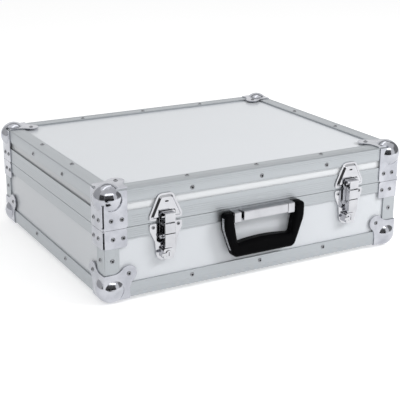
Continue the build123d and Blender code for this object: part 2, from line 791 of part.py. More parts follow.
def latch_bail():
    eye_radius = bail_pin_radius + eye_wall
    foot = bail_pivot_height - eye_radius
    loop = block(both_sides(bail_outer), (foot, bail_top), (bail_back, bail_front))
    loop = fillet(loop.edges().filter_by(Axis.Z).group_by(Axis.Y)[-1], bail_corner_radius)
    eyes = cross_pin(bail_pivot_height, bail_pivot_proud, eye_radius, bail_outer)
    band_bottom = bail_top - bail_band
    window = block(both_sides(bail_inner), (-parting_height, band_bottom), (0, lever_face))
    nose_top = bail_top - nose_setback
    roof = block(both_sides(nose_half_width), (band_bottom, nose_top), (bail_back, lever_face))
    nose = block(both_sides(nose_half_width), (nose_bottom, nose_top), (lever_face - nose_wall, lever_face))
    hood = roof + nose
    brow = hood.edges().filter_by(Axis.X).sort_by_distance((0, bail_top, lever_face))[0]
    hood = fillet(brow, nose_radius)
    turning_radius = bail_pin_radius + running_play
    bore = cross_pin(bail_pivot_height, bail_pivot_proud, turning_radius, 2 * bail_outer)
    return loop + eyes - window + hood - bore


def lever_pin():
    half = lever_half_width + side_play / 2
    return cross_pin(lever_pivot_height, lever_pivot_proud, lever_pin_radius, half)


def bail_pin():
    half = bail_outer + pin_head
    return cross_pin(bail_pivot_height, bail_pivot_proud, bail_pin_radius, half)


def lock_barrel():
    top = lock_boss_proud + lock_face_gap
    front = top + lock_dog_thickness
    barrel = Pos(0, lock_height, (latch_sheet + front) / 2) * Cylinder(lock_radius, front - latch_sheet)
    dog_heights = (lock_height - lock_dog_half_width, lock_height + lock_dog_half_width)
    dog = block((-lock_dog_length, 0), dog_heights, (top, front))
    dog = fillet(dog.edges().filter_by(Axis.Z).group_by(Axis.X)[0], lock_dog_radius)
    slot = Pos(0, lock_height, front) * Box(key_slot_width, key_slot_length, key_slot_depth)
    return barrel + dog - slot


for side in (-1, 1):
    place = latch_place(side)
    lid_rivets.add(place * Pos(0, keeper_rivet_height, 0), latch_sheet)
    for across in both_sides(base_rivet_offset):
        body_rivets.add(place * Pos(across, base_rivet_height, 0), latch_sheet, small_head_radius)


# ---------------------------------------------------------------- handle
def handle_outline(inset):
    # outer shape of the loop, seen from the front, drawn in by the inset
    half = handle_half_width - inset
    foot = handle_half_foot - inset
    low = handle_bottom + inset
    high = handle_top - inset
    right = ((foot, low), (half, handle_knee_height), (half, high))
    left = tuple((-x, y) for x, y in reversed(right))
    sketch = Polygon(*left, *right, align=None)
    bends = ((foot, low, handle_foot_radius), (half, handle_knee_height, handle_knee_radius))
    for x, y, radius in bends:
        for side in (-1, 1):
            sketch = fillet(sketch.vertices().sort_by_distance((side * x, y, 0))[0], radius)
    return sketch


def handle_opening():
    arm = handle_half_width - handle_arm_width
    high = case_height
    arch_middle = (0, grip_top + grip_arch)
    arch = ThreePointArc((-grip_half_opening, grip_top), arch_middle, (grip_half_opening, grip_top))
    right = ((arm, opening_knee_height), (arm, high))
    left = tuple((-x, y) for x, y in reversed(right))
    rest = Polyline(arch @ 1, *right, *left, arch @ 0)
    sketch = make_face([arch, rest])
    for side in (-1, 1):
        corner = sketch.vertices().sort_by_distance((side * grip_half_opening, grip_top, 0))[0]
        sketch = fillet(corner, opening_radius)
    return sketch


def handle_side():
    # side view of the loop as (height, proud), softened at the foot
    tall = handle_top - handle_bottom
    middle = (handle_top + handle_bottom) / 2
    outline = Pos(middle, handle_pivot_proud) * Rectangle(tall, handle_thickness)
    return fillet(outline.vertices().group_by(Axis.X)[0], handle_side_radius)


def handle_blank(inset):
    loop = extrude(handle_outline(inset), amount=handle_back + handle_thickness)
    side = upright_sheet(handle_side(), -handle_half_width - 1, handle_half_width + 1)
    return loop & side


def core_slot(inset):
    # band along the outer sides of both arms
    heights = (handle_bottom + handle_core_start, handle_pivot_height - handle_core_stop)
    half = handle_core_width / 2
    depths = (handle_pivot_proud - half, handle_pivot_proud + half)
    return handle_blank(inset) & block(both_sides(handle_half_width), heights, depths)


def handle_grip():
    sketch = handle_outline(0) - handle_opening()
    tops = sketch.vertices().group_by(Axis.Y)[-1]
    sketch = fillet(tops, handle_arm_radius)
    loop = Pos(0, 0, handle_back) * extrude(sketch, amount=handle_thickness)
    levels = loop.edges().filter_by(Axis.Z, reverse=True).group_by(Axis.Z)
    loop = fillet(levels[0], handle_back_rounding)
    levels = loop.edges().filter_by(Axis.Z, reverse=True).group_by(Axis.Z)
    loop = fillet(levels[-1], handle_front_rounding)
    loop = loop & upright_sheet(handle_side(), -handle_half_width - 1, handle_half_width + 1)
    groove = core_slot(0) - core_slot(handle_core_depth)
    bore = cross_pin(handle_pivot_height, handle_pivot_proud, handle_pin_radius, arm_bore_end)
    return loop - groove - bore


def handle_core():
    return core_slot(handle_core_recess) - core_slot(handle_core_depth)


def handle_pins():
    inner = bracket_half_width - bracket_lug
    pins = []
    for side in (-1, 1):
        middle = side * (inner + arm_bore_end) / 2
        pin = Rot(0, 90, 0) * Cylinder(handle_pin_radius, arm_bore_end - inner)
        pins.append(Pos(middle, handle_pivot_height, handle_pivot_proud) * pin)
    return pins


def handle_bracket():
    heights = (bracket_bottom, bracket_top)
    outer = block(both_sides(bracket_half_width), heights, (0, bracket_proud))
    outer = fillet(outer.edges().filter_by(Axis.X).group_by(Axis.Z)[-1], bracket_radius)
    lug_inner = bracket_half_width - bracket_lug
    inner_heights = (bracket_bottom + bracket_bar_rise + bracket_wall, bracket_top - bracket_wall)
    inner_depths = (bracket_base, bracket_proud - bracket_wall)
    bracket = outer - block(both_sides(lug_inner), inner_heights, inner_depths)
    past_bracket = (-parting_height, case_height)
    bar_bottom = bracket_bottom + bracket_bar_rise
    past_base = (bracket_base, 2 * bracket_proud)
    bracket = bracket - block(both_sides(lug_inner), (-parting_height, bar_bottom), past_base)
    slots = (
        (-lug_inner, -lug_inner + bracket_left_slot),
        (lug_inner - bracket_right_slot, lug_inner),
    )
    for slot in slots:
        bracket = bracket - block(slot, past_bracket, past_base)
    turning_radius = handle_pin_radius + running_play
    bore = cross_pin(handle_pivot_height, handle_pivot_proud, turning_radius, case_width / 2)
    return bracket - bore


for across in both_sides(bracket_rivet_offset):
    spot = handle_place * Pos(across, (bracket_bottom + bracket_top) / 2, 0)
    body_rivets.add(spot, bracket_base, small_head_radius)


# ---------------------------------------------------------------- hinges
def hinge_leaf(first, direction):
    # knuckles first, first + 2, ... ; direction +1 climbs from the axis, -1 falls from it
    def from_axis(near, far):
        return tuple(sorted((parting_height + direction * near, parting_height + direction * far)))

    pitch = 2 * hinge_half_width / hinge_knuckles
    start = hinge_barrel_radius + hinge_leaf_clearance
    plate_heights = from_axis(start, start + hinge_leaf_height)
    leaf = block(both_sides(hinge_half_width), plate_heights, (0, hinge_leaf_thickness))
    for index in range(first, hinge_knuckles, 2):
        low = -hinge_half_width + index * pitch + hinge_knuckle_play
        high = low + pitch - 2 * hinge_knuckle_play
        axis = Pos((low + high) / 2, parting_height, hinge_axis_proud) * Rot(0, 90, 0)
        strap = block((low, high), from_axis(0, start), (0, hinge_leaf_thickness))
        corner = block((low, high), from_axis(0, start), (0, hinge_axis_proud))
        curl = corner & axis * Cylinder(hinge_barrel_radius + hinge_leaf_thickness / 2, high - low)
        leaf = leaf + strap + curl + axis * Cylinder(hinge_barrel_radius, high - low)
    play = 0 if direction < 0 else running_play
    return leaf - cross_pin(parting_height, hinge_axis_proud, hinge_pin_radius + play, case_width / 2)


def hinge_pin():
    return cross_pin(parting_height, hinge_axis_proud, hinge_pin_radius, hinge_half_width)


hinge_places = [walls["back"] * Pos(side * hinge_offset, 0, 0) for side in (-1, 1)]
for place in hinge_places:
    for across in (-hinge_rivet_offset, hinge_rivet_offset):
        lid_rivets.add(place * Pos(across, parting_height + hinge_rivet_height, 0), hinge_leaf_thickness)
        body_rivets.add(place * Pos(across, parting_height - hinge_rivet_height, 0), hinge_leaf_thickness)


# ---------------------------------------------------------------- foam
foam_half_width = case_width / 2 - rail_inner - foam_play
foam_half_depth = case_depth / 2 - rail_inner - foam_play
bay_half_width = foam_half_width - foam_rim
bay_half_depth = foam_half_depth - foam_rim
divider_width = (2 * bay_half_width - slot_count * slot_width) / (slot_count - 1)
slot_back = -bay_half_depth + slot_length
tray_front = slot_back + foam_crossbar
foam_bottom = panel_inner + foam_play


def foam_block(x, y, z):
    return Pos(0, middle_y, base_z) * block(x, y, z)


floor_heights = (foam_bottom, foam_floor_top)
foam_floor = foam_block(both_sides(foam_half_width), both_sides(foam_half_depth), floor_heights)
wall_heights = (foam_floor_top, parting_height - foam_sink)
foam_rim_bars = [
    foam_block(both_sides(foam_half_width), (-foam_half_depth, -bay_half_depth), wall_heights),
    foam_block(both_sides(foam_half_width), (bay_half_depth, foam_half_depth), wall_heights),
    foam_block((-foam_half_width, -bay_half_width), both_sides(bay_half_depth), wall_heights),
    foam_block((bay_half_width, foam_half_width), both_sides(bay_half_depth), wall_heights),
]
foam_cross_wall = foam_block(both_sides(bay_half_width), (slot_back, tray_front), wall_heights)
foam_dividers = []
for index in range(1, slot_count):
    low = -bay_half_width + index * slot_width + (index - 1) * divider_width
    across = (low, low + divider_width)
    foam_dividers.append(foam_block(across, (-bay_half_depth, slot_back), wall_heights))
tray_depths = (tray_front, bay_half_depth)
foam_tray_divider = foam_block(both_sides(tray_divider / 2), tray_depths, wall_heights)
lid_foam_heights = (parting_height + lid_foam_gap, case_height - panel_inner - foam_play / 2)
lid_foam = foam_block(both_sides(foam_half_width), both_sides(foam_half_depth), lid_foam_heights)


# ---------------------------------------------------------------- nodes
nodes = {
    "floor_panel": [body_rivets.drill(floor_panel)],
    "front_panel": [body_rivets.drill(body_wall_panels["front"])],
    "back_panel": [body_rivets.drill(body_wall_panels["back"])],
    "left_panel": [body_rivets.drill(body_wall_panels["left"])],
    "right_panel": [body_rivets.drill(body_wall_panels["right"])],
    "lid_top_panel": [lid_rivets.drill(lid_top_panel)],
    "lid_front_panel": [lid_rivets.drill(lid_wall_panels["front"])],
    "lid_back_panel": [lid_rivets.drill(lid_wall_panels["back"])],
    "lid_side_panels": [lid_rivets.drill(lid_wall_panels[name]) for name in ("left", "right")],
    "base_edge_angles": [body_rivets.drill(piece) for piece in base_edge_angles],
    "lid_edge_angles": [lid_rivets.drill(piece) for piece in lid_edge_angles],
    "body_closure_rails": [body_rivets.drill(piece) for piece in body_closure_rails],
    "lid_closure_rails": [lid_rivets.drill(piece) for piece in lid_closure_rails],
    "corner_posts": [body_rivets.drill(piece) for piece in corner_posts],
    "foot_corners": [body_rivets.drill(piece) for piece in foot_corners],
    "lid_corners": [lid_rivets.drill(piece) for piece in lid_corners],
    "body_braces": [body_rivets.drill(piece) for piece in body_braces],
    "lid_rivets": lid_rivets.solids(),
    "body_rivets": body_rivets.solids(),
    "latch_keepers": [lid_rivets.drill(latch_place(side) * latch_keeper()) for side in (-1, 1)],
    "latch_bases": [body_rivets.drill(latch_place(side) * latch_base()) for side in (-1, 1)],
    "handle_bracket": [body_rivets.drill(handle_place * handle_bracket())],
    "handle_grip": [handle_place * handle_grip()],
    "handle_core": [handle_place * piece for piece in handle_core().solids()],
    "handle_pins": [handle_place * pin for pin in handle_pins()],
    "body_hinge_leaves": [body_rivets.drill(place * hinge_leaf(0, -1)) for place in hinge_places],
    "lid_hinge_leaves": [lid_rivets.drill(place * hinge_leaf(1, 1)) for place in hinge_places],
    "hinge_pins": [place * hinge_pin() for place in hinge_places],
    "foam_floor": [foam_floor],
    "foam_rim": foam_rim_bars,
    "foam_cross_wall": [foam_cross_wall],
    "foam_slot_dividers": foam_dividers,
    "foam_tray_divider": [foam_tray_divider],
    "lid_foam": [lid_foam],
}
for side, word in ((-1, "left"), (1, "right")):
    place = latch_place(side)
    nodes[f"{word}_latch_lever"] = [place * latch_lever()]
    nodes[f"{word}_latch_bail"] = [place * latch_bail()]
    nodes[f"{word}_lever_pin"] = [place * lever_pin()]
    nodes[f"{word}_bail_pin"] = [place * bail_pin()]
    nodes[f"{word}_lock_barrel"] = [place * lock_barrel()]

os.makedirs("parts", exist_ok=True)
for name, pieces in nodes.items():
    shape = pieces[0] if len(pieces) == 1 else Compound(children=list(pieces))
    export_step(shape, f"parts/{name}.step")
print(len(nodes), "nodes written")
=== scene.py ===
import bpy
import bmesh
import math
from mathutils import Matrix, Vector, noise


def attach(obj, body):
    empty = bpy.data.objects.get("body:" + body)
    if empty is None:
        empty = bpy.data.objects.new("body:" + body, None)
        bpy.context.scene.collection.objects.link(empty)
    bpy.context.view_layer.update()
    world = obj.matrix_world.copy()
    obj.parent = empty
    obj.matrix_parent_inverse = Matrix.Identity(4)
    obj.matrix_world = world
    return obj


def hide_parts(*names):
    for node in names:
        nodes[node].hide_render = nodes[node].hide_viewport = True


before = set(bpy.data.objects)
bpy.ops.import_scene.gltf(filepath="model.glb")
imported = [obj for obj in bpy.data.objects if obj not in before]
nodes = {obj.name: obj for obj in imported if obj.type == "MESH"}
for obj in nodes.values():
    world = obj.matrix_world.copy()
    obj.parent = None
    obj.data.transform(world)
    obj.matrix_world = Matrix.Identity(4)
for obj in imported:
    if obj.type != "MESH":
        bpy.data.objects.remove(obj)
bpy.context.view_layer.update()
mm = 0.001
joinGap = 0.002 * mm           # corners nearer than this are one corner
flatAngle = math.radians(0.5)  # faces nearer to flat than this are one face
print("frame loaded,", len(nodes), "nodes")


def grey(value):
    return (value, value, value, 1)


class Wire:
    # one output of a node, which can be used in sums
    def __init__(self, owner, socket):
        self.owner = owner
        self.socket = socket

    def maths(self, operation, first, second):
        return self.owner.node("ShaderNodeMath", {"operation": operation}, {0: first, 1: second})

    def __add__(self, other):
        return self.maths("ADD", self, other)

    def __radd__(self, other):
        return self.maths("ADD", other, self)

    def __mul__(self, other):
        return self.maths("MULTIPLY", self, other)

    def __rmul__(self, other):
        return self.maths("MULTIPLY", other, self)


class NodeTree:
    # the nodes of one material or of the world
    def __init__(self, tree):
        self.tree = tree

    def join(self, value, socket):
        if isinstance(value, Wire):
            self.tree.links.new(value.socket, socket)
        else:
            socket.default_value = value

    def node(self, kind, settings=None, inputs=None, output=0):
        made = self.tree.nodes.new(kind)
        for name, value in (settings or {}).items():
            if name == "stops":
                self.setStops(made.color_ramp, value)
            else:
                setattr(made, name, value)
        for name, value in (inputs or {}).items():
            self.join(value, made.inputs[name])
        return Wire(self, made.outputs[output])

    def setStops(self, ramp, stops):
        for stop, (place, shade) in zip(ramp.elements, stops):
            stop.position = place
            stop.color = grey(shade)

    def rays(self):
        # each is 1 for its own rays: the camera's, those off metal and those through glass
        names = ("Is Camera Ray", "Is Glossy Ray", "Is Transmission Ray")
        return [self.node("ShaderNodeLightPath", output=name) for name in names]


class Finish(NodeTree):
    # a material with its Principled shader and the wires that feed it
    def __init__(self, name, **constants):
        self.material = bpy.data.materials.new(name)
        self.material.use_nodes = True
        super().__init__(self.material.node_tree)
        self.shader = self.tree.nodes["Principled BSDF"]
        self.shade(**constants)

    def shade(self, **values):
        for name, value in values.items():
            self.join(value, self.shader.inputs[name.replace("_", " ")])

    def place(self, stretch=(1, 1, 1), source="Object"):
        where = self.node("ShaderNodeTexCoord", output=source)
        return self.node("ShaderNodeMapping", None, {"Vector": where, "Scale": stretch})

    def noise(self, scale, detail, roughness=0.5, where=None):
        where = where or self.place()
        inputs = {"Vector": where, "Scale": scale, "Detail": detail, "Roughness": roughness}
        return self.node("ShaderNodeTexNoise", None, inputs)

    def cells(self, scale):
        return self.node("ShaderNodeTexVoronoi", None, {"Vector": self.place(), "Scale": scale})

    def ramp(self, value, edge):
        # black up to the start of the edge and white from its end
        return self.node("ShaderNodeValToRGB", {"stops": ((edge[0], 0), (edge[1], 1))}, {"Fac": value})

    def mixed(self, share, first, second):
        mix = {"data_type": "RGBA"}
        return self.node("ShaderNodeMix", mix, {0: share, 6: first, 7: second}, 2)

    def bump(self, height, distance):
        inputs = {"Height": height, "Distance": distance, "Strength": 1.0}
        self.shade(Normal=self.node("ShaderNodeBump", None, inputs))


def laminateFinish(name, look):
    made = Finish(name, Specular_IOR_Level=look["specular"])
    cloud = made.noise(look["cloudScale"], detail=3)
    made.shade(Base_Color=made.mixed(cloud, look["colour"], look["shadeColour"]))
    peel = made.noise(look["peelScale"], detail=2)
    lengthways = made.place(look["scuffStretch"])
    scuffs = made.noise(look["scuffScale"], detail=4, roughness=0.6, where=lengthways)
    worn = made.ramp(scuffs, look["scuffEdge"])
    made.shade(Roughness=look["roughness"] + look["peelRoughness"] * peel + look["scuffRoughness"] * worn)
    made.bump(peel, look["peelHeight"])
    return made.material


laminate = {
    "colour": (0.708, 0.733, 0.766, 1),
    "shadeColour": (0.688, 0.714, 0.749, 1),
    "specular": 0.45,
    "cloudScale": 7,
    "peelScale": 420,
    "peelHeight": 0.000004,
    "roughness": 0.20,
    "peelRoughness": 0.06,
    "scuffScale": 60,
    "scuffStretch": (1, 7, 1),
    "scuffEdge": (0.60, 0.78),
    "scuffRoughness": 0.04,
}

# the lid's strip between the extrusions is one laminate, painted lighter on the front and back as painted
# light and darker on the sides as painted shade
paintedLitLaminate = {**laminate, "colour": (0.80, 0.82, 0.84, 1), "shadeColour": (0.77, 0.79, 0.81, 1)}
paintedDimLaminate = {**laminate, "colour": (0.63, 0.65, 0.67, 1), "shadeColour": (0.59, 0.61, 0.63, 1)}


def aluminiumFinish(name, look):
    # drawn lines run along each length, which the UV map follows
    made = Finish(name, Metallic=look["metallic"])
    streaks = made.noise(1, detail=3, roughness=0.6, where=made.place(look["lineStretch"], "UV"))
    broad = made.noise(1, detail=2, where=made.place(look["bandStretch"], "UV"))
    pattern = look["lineShare"] * streaks + look["bandShare"] * broad
    made.shade(Base_Color=made.mixed(pattern, look["darkColour"], look["colour"]))
    made.shade(Roughness=look["roughness"] + look["lineRoughness"] * streaks)
    made.bump(streaks, look["lineHeight"])
    return made.material


aluminium = {
    "colour": (0.485, 0.51, 0.535, 1),
    "darkColour": (0.405, 0.43, 0.45, 1),
    "metallic": 0.85,
    "roughness": 0.30,
    "lineRoughness": 0.14,
    "lineHeight": 0.00001,
    "lineStretch": (3, 1400, 1),
    "bandStretch": (2, 160, 1),
    "lineShare": 0.6,
    "bandShare": 0.4,
}


def platedFinish(name, look):
    made = Finish(name, Metallic=1.0)
    cloud = made.ramp(made.noise(look["cloudScale"], detail=4, roughness=0.55), look["cloudEdge"])
    made.shade(Base_Color=made.mixed(cloud, look["colour"], look["shadeColour"]))
    smear = made.noise(look["smearScale"], detail=3, roughness=0.6, where=made.place(look["smearStretch"]))
    lines = made.noise(look["scratchScale"], detail=2, roughness=0.7,
                       where=made.place(look["scratchStretch"]))
    scratches = made.ramp(lines, look["scratchEdge"])
    made.shade(Roughness=look["roughness"] + look["smearRoughness"] * smear
               + look["scratchRoughness"] * scratches)
    made.bump(made.noise(look["waveScale"], detail=1), look["waveHeight"])
    return made.material


plating = {
    "cloudScale": 45,
    "cloudEdge": (0.36, 0.64),
    "smearScale": 160,
    "smearStretch": (1, 1, 3),
    "smearRoughness": 0.06,
    "scratchScale": 900,
    "scratchStretch": (1, 9, 1),
    "scratchEdge": (0.62, 0.72),
    "scratchRoughness": 0.08,
}
nickel = {
    **plating,
    "colour": (0.52, 0.53, 0.57, 1),
    "shadeColour": (0.41, 0.42, 0.46, 1),
    "roughness": 0.11,
    "waveScale": 95,
    "waveHeight": 0.00012,
}
chrome = {
    **plating,
    "colour": (0.56, 0.565, 0.59, 1),
    "shadeColour": (0.49, 0.495, 0.52, 1),
    "roughness": 0.05,
    "waveScale": 160,
    "waveHeight": 0.00002,
}
hingeNickel = {
    **plating,
    "colour": (0.70, 0.70, 0.72, 1),
    "shadeColour": (0.60, 0.60, 0.62, 1),
    "roughness": 0.22,
    "waveScale": 140,
    "waveHeight": 0.00002,
}
bracketNickel = {
    **plating,
    "colour": (0.54, 0.545, 0.57, 1),
    "shadeColour": (0.47, 0.475, 0.50, 1),
    "roughness": 0.26,
    "waveScale": 110,
    "waveHeight": 0.00003,
}
rivetAlloy = {
    **plating,
    "colour": (0.36, 0.365, 0.385, 1),
    "shadeColour": (0.27, 0.275, 0.29, 1),
    "roughness": 0.30,
    "waveScale": 300,
    "waveHeight": 0.00002,
}
pinSteel = {
    **plating,
    "colour": (0.62, 0.62, 0.63, 1),
    "shadeColour": (0.50, 0.50, 0.52, 1),
    "roughness": 0.24,
    "waveScale": 300,
    "waveHeight": 0.00001,
}
# near-black painted shade, for the rivets' holes, the cut faces behind the slits and under the balls, and
# the lever's groove
blackShadeLook = {
    **plating,
    "colour": (0.035, 0.035, 0.038, 1),
    "shadeColour": (0.012, 0.012, 0.013, 1),
    "roughness": 0.45,
    "waveScale": 900,
    "waveHeight": 0.00005,
}


def plasticFinish(name, look):
    made = Finish(name, Specular_IOR_Level=look["specular"])
    cloud = made.noise(look["cloudScale"], detail=3)
    made.shade(Base_Color=made.mixed(cloud, look["colour"], look["shadeColour"]))
    grain = made.cells(look["grainScale"])
    made.shade(Roughness=look["roughness"] + look["grainRoughness"] * grain)
    made.bump(grain, look["grainHeight"])
    return made.material


blackPlastic = {
    "colour": (0.0012, 0.0012, 0.0016, 1),
    "shadeColour": (0.0026, 0.0026, 0.0032, 1),
    "specular": 0.025,
    "roughness": 0.26,
    "cloudScale": 60,
    "grainScale": 1300,
    "grainRoughness": 0.10,
    "grainHeight": 0.00002,
}


def foamFinish(name, look):
    made = Finish(name, Sheen_Weight=look["sheen"], Sheen_Roughness=look["sheenRoughness"],
                  Specular_IOR_Level=look["specular"])
    pores = made.cells(look["poreScale"])
    soft = made.noise(look["lumpScale"], detail=4, roughness=0.6)
    lit = pores * soft * look["poreLight"]
    made.shade(Base_Color=made.mixed(lit, look["shadeColour"], look["colour"]))
    made.shade(Roughness=look["roughness"] + look["lumpRoughness"] * soft)
    made.bump(pores + soft * look["lumpShare"], look["poreHeight"])
    return made.material


charcoalFoam = {
    "colour": (0.075, 0.075, 0.080, 1),
    "shadeColour": (0.018, 0.018, 0.020, 1),
    "sheen": 0.25,
    "sheenRoughness": 0.6,
    "specular": 0.2,
    "roughness": 0.85,
    "lumpRoughness": 0.1,
    "poreScale": 700,
    "poreLight": 2,
    "poreHeight": 0.0006,
    "lumpScale": 160,
    "lumpShare": 0.6,
}

finishes = {
    "laminate": laminateFinish("paleLaminate", laminate),
    # the painted light and painted shade copies of the laminate, for the lid's strips
    "stripLaminate": laminateFinish("paintedLitLaminate", paintedLitLaminate),
    "paintedDimLaminate": laminateFinish("paintedDimLaminate", paintedDimLaminate),
    "bracket": platedFinish("bracketNickel", bracketNickel),
    "aluminium": aluminiumFinish("satinAluminium", aluminium),
    "nickel": platedFinish("cornerNickel", nickel),
    "chrome": platedFinish("latchChrome", chrome),
    "hinge": platedFinish("hingeNickel", hingeNickel),
    "rivet": platedFinish("rivetAlloy", rivetAlloy),
    # near-black painted shade for holes, slits and grooves
    "eye": platedFinish("paintedBlackShade", blackShadeLook),
    "steel": platedFinish("pinSteel", pinSteel),
    "plastic": plasticFinish("blackPlastic", blackPlastic),
    "foam": foamFinish("charcoalFoam", charcoalFoam),
}
print("finishes made")


def linked(name, data):
    made = bpy.data.objects.new(name, data)
    bpy.context.scene.collection.objects.link(made)
    return made


def objectFrom(mesh, name):
    # hands a bmesh over to a new object
    data = bpy.data.meshes.new(name)
    mesh.to_mesh(data)
    mesh.free()
    return linked(name, data)


def pieceFrom(mesh, name, body, finish, replaced):
    # turns a bmesh into a piece that rides on a body and stands for some CAD nodes
    piece = objectFrom(mesh, name)
    piece.data.materials.append(finishes[finish])
    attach(piece, body)
    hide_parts(*replaced)
    return piece


def easeEdges(piece, width, segments=2, angle=30):
    for face in piece.data.polygons:
        face.use_smooth = True
    bevel = piece.modifiers.new("edges", "BEVEL")
    bevel.limit_method = "ANGLE"
    bevel.angle_limit = math.radians(angle)
    bevel.width = width
    bevel.segments = segments
    bevel.use_clamp_overlap = True
    bevel.miter_outer = "MITER_ARC"
    weights = piece.modifiers.new("shading", "WEIGHTED_NORMAL")
    weights.keep_sharp = True


def joinedCopy(node):
    # the shape of a CAD node with its loose triangles joined and flat faces made whole
    mesh = bmesh.new()
    mesh.from_mesh(nodes[node].data)
    bmesh.ops.remove_doubles(mesh, verts=mesh.verts, dist=joinGap)
    bmesh.ops.dissolve_limit(mesh, angle_limit=flatAngle, verts=mesh.verts, edges=mesh.edges)
    return mesh


def appendMesh(mesh, extra):
    data = bpy.data.meshes.new("part")
    extra.to_mesh(data)
    extra.free()
    mesh.from_mesh(data)
    bpy.data.meshes.remove(data)


def vertsOf(geometry):
    return [item for item in geometry if isinstance(item, bmesh.types.BMVert)]


def prism(corners, reach):
    # a flat outline drawn out into a solid
    made = bmesh.new()
    outline = made.faces.new([made.verts.new(corner) for corner in corners])
    grown = bmesh.ops.extrude_face_region(made, geom=[outline])
    bmesh.ops.translate(made, verts=vertsOf(grown["geom"]), vec=reach)
    return made


def addGrain(mesh, across):
    # a UV map whose first axis follows the drawn lines
    grain = mesh.loops.layers.uv.new("grain")
    for face in mesh.faces:
        for loop in face.loops:
            loop[grain].uv = across(loop.vert.co)


case = {
    "halfWidth": 238.0 * mm,
    "frontY": -188.65 * mm,
    "backY": 197.35 * mm,
    "baseZ": 6.8 * mm,
    "height": 150.5,           # in mm above the underside, like the heights in the profiles
}
middleY = (case["frontY"] + case["backY"]) / 2
wallHalves = {
    "front": case["halfWidth"],
    "right": (case["backY"] - case["frontY"]) / 2,
    "back": case["halfWidth"],
    "left": (case["backY"] - case["frontY"]) / 2,
}


def wallFrame(name):
    # x along the wall, y up it and z out of it
    half = case["halfWidth"]
    places = {
        "front": ((0, case["frontY"]), (1, 0), (0, -1)),
        "right": ((half, middleY), (0, 1), (1, 0)),
        "back": ((0, case["backY"]), (-1, 0), (0, 1)),
        "left": ((-half, middleY), (0, -1), (-1, 0)),
    }
    spot, along, out = places[name]
    turn = Matrix(((along[0], 0, out[0]), (along[1], 0, out[1]), (0, 1, 0))).to_4x4()
    return Matrix.Translation((*spot, case["baseZ"])) @ turn


# the extrusions in mm, each profile drawn as (height, proud) in the frame of one wall
rails = {
    "grooveWidth": 1.7,
    "grooveDepth": 0.20,
    "grooveFloor": 0.4,        # flat part of a groove, as a share of its width
    "arris": 2.0,              # outer corner of the edge angles
    "arrisSteps": 4,
    "mitreGap": 0.1,
    # the faces left by the corner and arris cuts are painted black, as painted shade under the balls and in
    # the slits
    "cornerCut": 11.0,         # taken off each corner, under the balls
    "arrisCut": 4.6,           # taken off the upright edges behind the slits
    "cutPrecision": 0.0001,
    "ease": 0.25,
    "easeAngle": 40,
    "thickness": 2.5,
    "leg": 22.0,
    "lidDrop": 19.5,
    "baseRise": 21.0,
    "lidGrooves": (3.6, 6.2, 8.8, 17.4),      # from the arris
    "baseGrooves": (3.6, 6.2, 8.8, 18.8),
    "flatGrooves": (3.6, 6.2, 8.8, 19.6),
}
bodyRail = {
    "face": (97.8, 82.0),
    "grooves": (2.8, 5.6, 8.4, 11.2, 14.0),   # from the parting line
    "inner": ((82.0, -2.5), (94.8, -2.5), (94.8, -8.0), (86.8, -8.0), (86.8, -9.2), (97.8, -9.2),
              (97.8, -6.1), (100.2, -6.1), (100.2, -4.5), (97.8, -4.5)),
}
lidRail = {
    "face": (98.2, 120.5),
    "grooves": (3.2, 6.2, 9.2, 12.2, 15.2),
    "inner": ((120.5, -0.8), (112.0, -0.8), (112.0, -2.5), (102.4, -2.5), (102.4, -8.0), (111.4, -8.0),
              (111.4, -9.2), (98.2, -9.2), (98.2, -7.0), (100.7, -7.0), (100.7, -3.6), (98.2, -3.6)),
}


def grooved(start, end, inward, places):
    # points along a straight face with a shallow groove at each place
    start = Vector(start)
    along = (Vector(end) - start).normalized()
    sink = Vector(inward) * rails["grooveDepth"]
    half = rails["grooveWidth"] / 2
    flat = rails["grooveFloor"]
    points = [start]
    for place in sorted(places):
        middle = start + along * place
        points.append(middle - along * half)
        points.append(middle - along * half * flat + sink)
        points.append(middle + along * half * flat + sink)
        points.append(middle + along * half)
    return points + [Vector(end)]


def anglePoints(corner, rise, faceGrooves):
    # an L from the free edge of its upright leg, round the arris, to the free edge of the flat leg
    turn = 1 if rise > 0 else -1
    arris = rails["arris"]
    thick = rails["thickness"]
    leg = rails["leg"]
    fromFree = [abs(rise) - place for place in faceGrooves]
    points = grooved((corner + rise, 0), (corner + turn * arris, 0), (0, -1), fromFree)
    for step in range(1, rails["arrisSteps"]):
        angle = math.pi / 2 * step / rails["arrisSteps"]
        height = corner + turn * arris * (1 - math.sin(angle))
        points.append(Vector((height, -arris * (1 - math.cos(angle)))))
    fromArris = [place - arris for place in rails["flatGrooves"]]
    points += grooved((corner, -arris), (corner, -leg), (turn, 0), fromArris)
    points += [Vector((corner + turn * thick, -leg)), Vector((corner + turn * thick, -thick))]
    points.append(Vector((corner + rise, -thick)))
    return points


def railPoints(rail):
    near, far = rail["face"]
    points = grooved((near, 0), (far, 0), (0, -1), rail["grooves"])
    return points + [Vector(point) for point in rail["inner"]]


